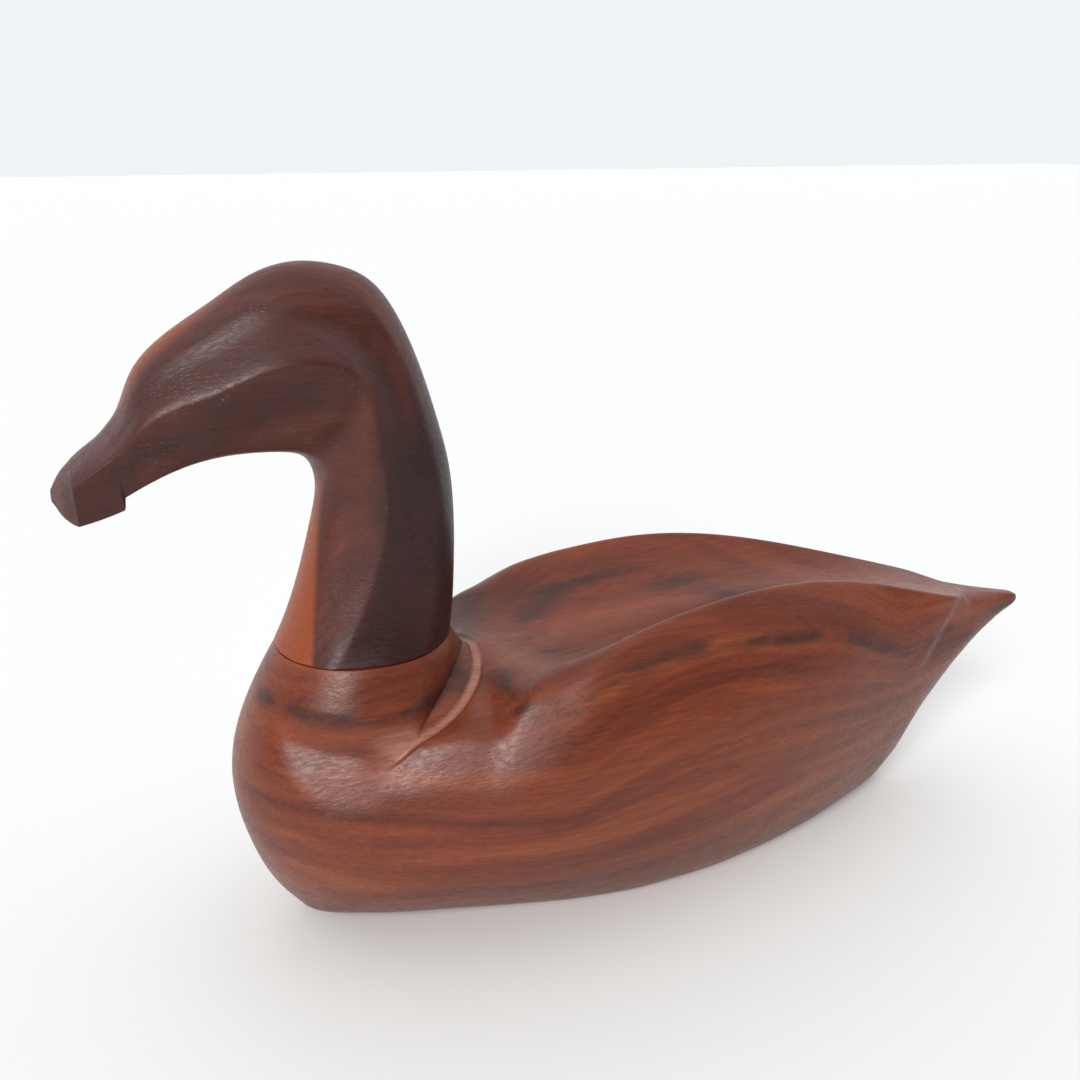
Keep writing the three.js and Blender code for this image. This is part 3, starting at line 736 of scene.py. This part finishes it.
def head_wood():
    """Dark plum-brown wood with orange sapwood on the front of the neck and on the forehead."""
    s = Shader("head_wood")
    place = s.place()
    x, y, z = s.split(place)
    wander = s.noise(s.scaled(place, head_layers["wander"]), 1.0, 2.0)
    layer = s.math("ADD", y, s.math("MULTIPLY", x, head_layers["lean"]))
    layer = s.math("ADD", layer, s.math("MULTIPLY", wander, head_layers["wander_height"]))
    streaks = s.noise(s.scaled(s.join(x, layer, z), head_layers["waves"]), 1.0, 5.0, 0.62)
    wood = s.ramp(streaks, head_tones)
    # Darkest wood, deepened with painted shade: the back half of the neck, which turns away from the window,
    # and the hollow under the cheek
    slant = s.math("MAXIMUM", s.math("SUBTRACT", dark_neck_and_shade["slant_below"], z), 0.0)
    behind = s.math("SUBTRACT", x, s.math("MULTIPLY", slant, dark_neck_and_shade["slant"]))
    dark = s.step(behind, *dark_neck_and_shade["x"], 1.0, 0.0)
    dark = s.math("MULTIPLY", dark, s.step(z, *dark_neck_and_shade["z"], 1.0, 0.0))
    wood = s.mix(s.math("MULTIPLY", dark, dark_neck_and_shade["share"]), wood, DARK_HEARTWOOD_AND_SHADE)
    # Sapwood: the front of the neck, and the forehead
    front = s.math("ADD", x, s.math("MULTIPLY", z, neck_sap["lean"]))
    on_neck = s.math("MULTIPLY", s.step(front, *neck_sap["front"]), s.step(z, *neck_sap["z"], 1.0, 0.0))
    on_neck = s.math("MULTIPLY", on_neck, s.step(x, *neck_sap["x"], 1.0, 0.0))
    side = s.math("MULTIPLY", y, forehead_sap["narrowing"])
    front = s.math("SUBTRACT", s.math("MULTIPLY", s.math("ADD", x, z), 0.5), side)
    on_head = s.math("MULTIPLY", s.step(front, *forehead_sap["front"]), s.step(x, *forehead_sap["x"]))
    height = s.step(z, *forehead_sap["z"], 0.0, forehead_sap["share"])
    sap = s.math("MAXIMUM", on_neck, s.math("MULTIPLY", on_head, height))
    wood = s.mix(sap, wood, SAPWOOD)
    wood, fibres, pores = grained(s, place, wood, head_look)
    # Short pale pores round the cheek and the crown
    patches = s.noise(s.scaled(place, flecks_look["patches"]), 1.0, 2.0)
    flecks = s.step(s.cells(s.scaled(place, flecks_look["cells"])), *flecks_look["size"], 1.0, 0.0)
    flecks = s.math("MULTIPLY", flecks, s.step(patches, *flecks_look["patch_limits"]))
    flecks = s.math("MULTIPLY", flecks, s.step(z, *flecks_look["z"]))
    wood = s.mix(s.math("MULTIPLY", flecks, flecks_look["share"]), wood, flecks_look["colour"])
    return oiled(s, place, wood, fibres, pores, head_look)


def pale_floor():
    """Plain pale floor that the duck stands on."""
    corners = [(x * FLOOR_HALF, y * FLOOR_HALF, 0) for x, y in ((-1, -1), (1, -1), (1, 1), (-1, 1))]
    mesh = bpy.data.meshes.new("floor")
    mesh.from_pydata(corners, [], [(0, 1, 2, 3)])
    material = bpy.data.materials.new("floor_white")
    material.use_nodes = True
    surface = material.node_tree.nodes["Principled BSDF"]
    surface.inputs["Base Color"].default_value = FLOOR_COLOUR
    surface.inputs["Roughness"].default_value = FLOOR_ROUGHNESS
    mesh.materials.append(material)
    floor = bpy.data.objects.new("floor", mesh)
    bpy.context.scene.collection.objects.link(floor)


def studio_light():
    """Soft window light from the front left, a pale room behind and a dim one beside the camera."""
    world = bpy.data.worlds.new("pale_room")
    bpy.context.scene.world = world
    world.use_nodes = True
    nodes, links = world.node_tree.nodes, world.node_tree.links
    direction = nodes.new("ShaderNodeTexCoord").outputs["Generated"]
    towards = nodes.new("ShaderNodeVectorMath")
    towards.operation = "DOT_PRODUCT"
    towards.inputs[1].default_value = PALE_SIDE
    links.new(direction, towards.inputs[0])
    glow = nodes.new("ShaderNodeMapRange")
    glow.interpolation_type = "SMOOTHSTEP"
    for key, value in room_glow.items():
        glow.inputs[key].default_value = value
    links.new(towards.outputs["Value"], glow.inputs["Value"])
    seen = nodes.new("ShaderNodeMix")
    seen.inputs["B"].default_value = BACKDROP
    links.new(nodes.new("ShaderNodeLightPath").outputs["Is Camera Ray"], seen.inputs["Factor"])
    links.new(glow.outputs[0], seen.inputs["A"])
    background = nodes["Background"]
    background.inputs["Color"].default_value = ROOM_COLOUR
    links.new(seen.outputs[0], background.inputs["Strength"])
    window = bpy.data.lights.new("window", "SUN")
    window.angle = math.radians(WINDOW_SPREAD)
    window.energy = WINDOW_STRENGTH
    window.color = WINDOW_COLOUR
    lamp = bpy.data.objects.new("window", window)
    bpy.context.scene.collection.objects.link(lamp)
    turn, height = math.radians(WINDOW_TURN), math.radians(WINDOW_HEIGHT)
    way = Vector((math.cos(height) * math.cos(turn), math.cos(height) * math.sin(turn), math.sin(height)))
    lamp.rotation_euler = way.to_track_quat("Z", "Y").to_euler()


def photo_camera():
    """Camera at the photo's place, level across."""
    camera = bpy.data.objects.new("camera", bpy.data.cameras.new("camera"))
    bpy.context.scene.collection.objects.link(camera)
    camera.data.sensor_width = CAMERA_SENSOR
    camera.data.lens = CAMERA_LENS
    camera.data.clip_start = NEAREST_SEEN
    turn, tilt = math.radians(CAMERA_TURN), math.radians(CAMERA_TILT)
    back = Vector((math.cos(tilt) * math.sin(turn), math.cos(tilt) * math.cos(turn), math.sin(tilt)))
    right = Vector((0, 0, 1)).cross(back).normalized()
    up = back.cross(right)
    pose = Matrix((right, up, back)).transposed().to_4x4()
    pose.translation = Vector(camera_place) * MM
    camera.matrix_world = pose
    bpy.context.scene.camera = camera


stations = np.concatenate([
    stretch(STATION_JOINT, STATION_BASE_FRONT, body_spacing["breast"]),
    stretch(STATION_BASE_FRONT, STATION_UPRIGHT, body_spacing["shoulder"]),
    stretch(STATION_UPRIGHT, STATION_BASE_REAR, body_spacing["flank"]),
    stretch(STATION_BASE_REAR, STATION_TAIL, body_spacing["tail"]),
    [STATION_TAIL],
])
numbers = np.union1d(np.linspace(0, HEAD_LAST, HEAD_SECTIONS), [*bill_notch["drop"], BILL_FRONT])
body = wooden_piece("duck_body", body_half_sections(stations), body_wood())
head = wooden_piece("duck_head_and_neck", head_half_sections(numbers), head_wood())
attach(body, "root")
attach(head, "root")
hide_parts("body")
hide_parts("head_and_neck")
pale_floor()
studio_light()
photo_camera()
bpy.context.scene.view_settings.view_transform = "Standard"
